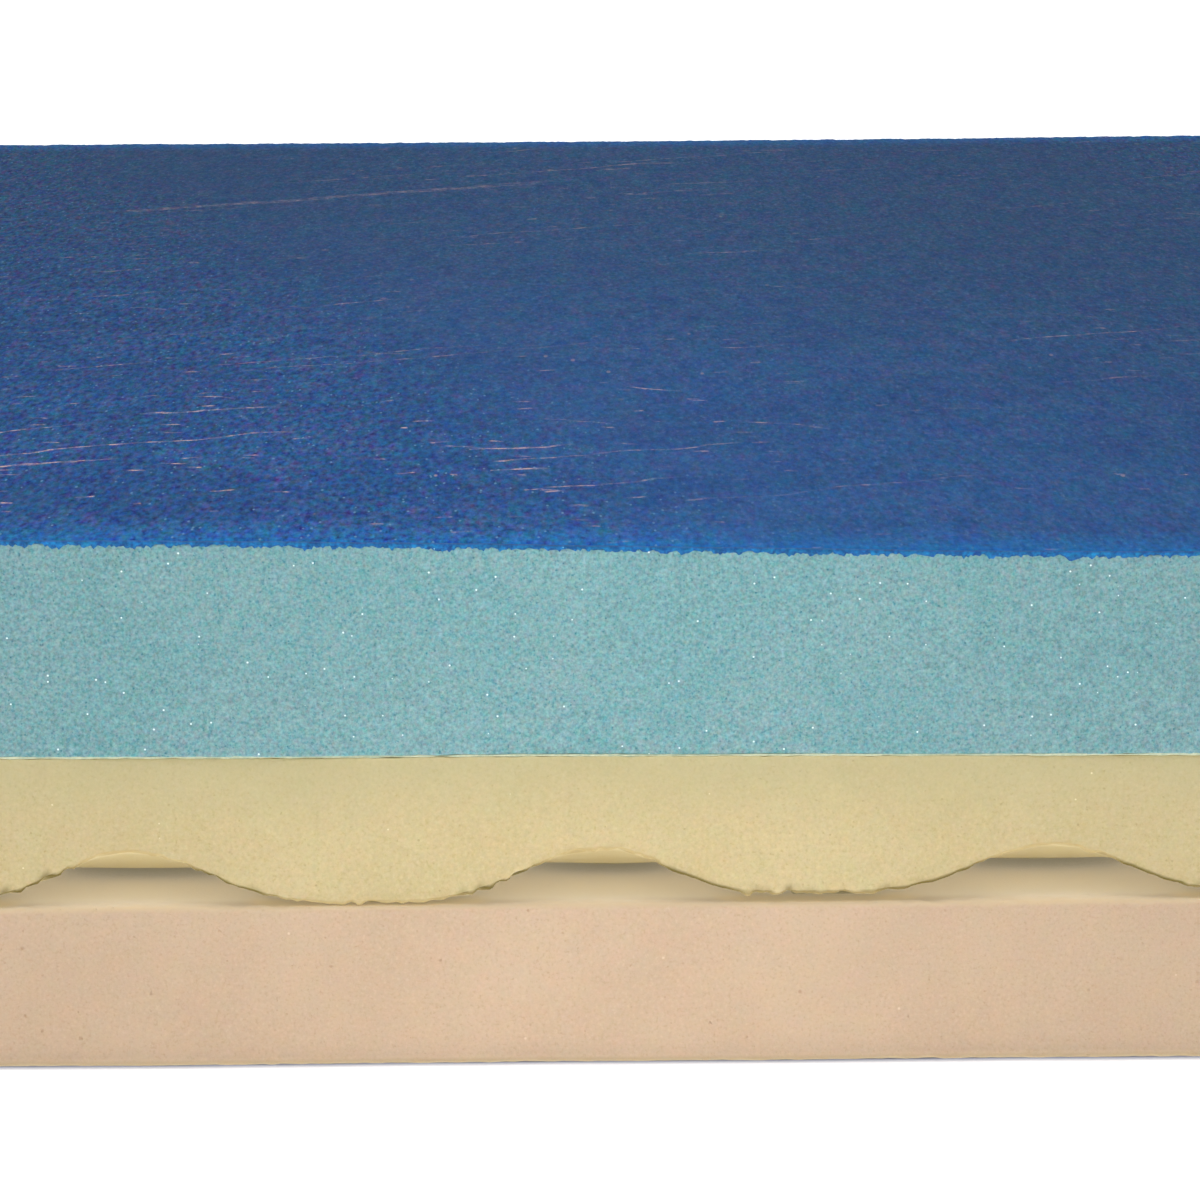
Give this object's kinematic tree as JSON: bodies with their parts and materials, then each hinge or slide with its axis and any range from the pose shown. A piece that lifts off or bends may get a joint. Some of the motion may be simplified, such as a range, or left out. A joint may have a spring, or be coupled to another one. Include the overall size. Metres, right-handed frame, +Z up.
{
  "type": "memory foam mattress core",
  "caption": "Single-bed mattress core of bonded foam: gel-coated memory foam on a wave-cut layer, bumps down, over a flat base foam.",
  "frame": {"origin": "centre of the underside, on the surface that the mattress lies on", "axes": "+X along the length from foot to head, +Y across the width, +Z up through the sleeping surface"},
  "size_m": [1.9, 0.9, 0.127],
  "materials": {
    "base_foam": "open-cell foam, peach beige, saw-cut",
    "convoluted_foam": "open-cell foam, pale straw yellow, wave-cut",
    "foam_glue": "dried spray glue, pale cream",
    "memory_foam": "fine open-cell viscoelastic foam, light aqua blue, saw-cut",
    "gel_coat": "thin rolled-on gel, royal blue, soft satin with an orange-peel texture"
  },
  "bodies": {
    "root": {"base_foam": "base_foam", "crest_glue_dabs": "foam_glue", "convoluted_foam": "convoluted_foam", "glue_film": "foam_glue", "memory_foam": "memory_foam", "gel_coat": "gel_coat"}
  },
  "joints": []
}
